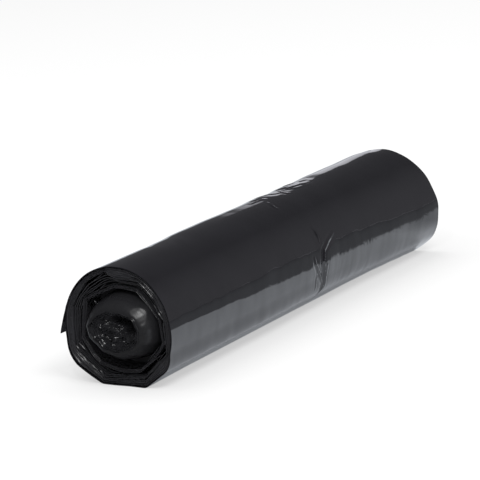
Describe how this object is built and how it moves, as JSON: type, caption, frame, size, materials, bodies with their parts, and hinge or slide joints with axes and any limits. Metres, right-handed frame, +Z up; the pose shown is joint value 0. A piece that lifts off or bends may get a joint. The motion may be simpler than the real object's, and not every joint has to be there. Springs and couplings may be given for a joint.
{
  "type": "bin bag roll",
  "caption": "Coreless roll of folded plastic film bin bags on its side, with loose outer turns, a crushed inner bundle sliding out of one end, and a loose tail.",
  "frame": {"origin": "on the flat spot that the roll rests on, straight below the winding axis and under the middle of its length", "axes": "+X along the winding axis, away from the crushed nose; +Z up, out of the flat spot through the winding axis; +Y to the side where the loose tail hangs"},
  "size_m": [0.3045, 0.0734, 0.0659],
  "materials": {
    "black_film": "glossy black polyethylene film with fine creases"
  },
  "bodies": {
    "root": {"bag_roll": "black_film"}
  },
  "joints": []
}
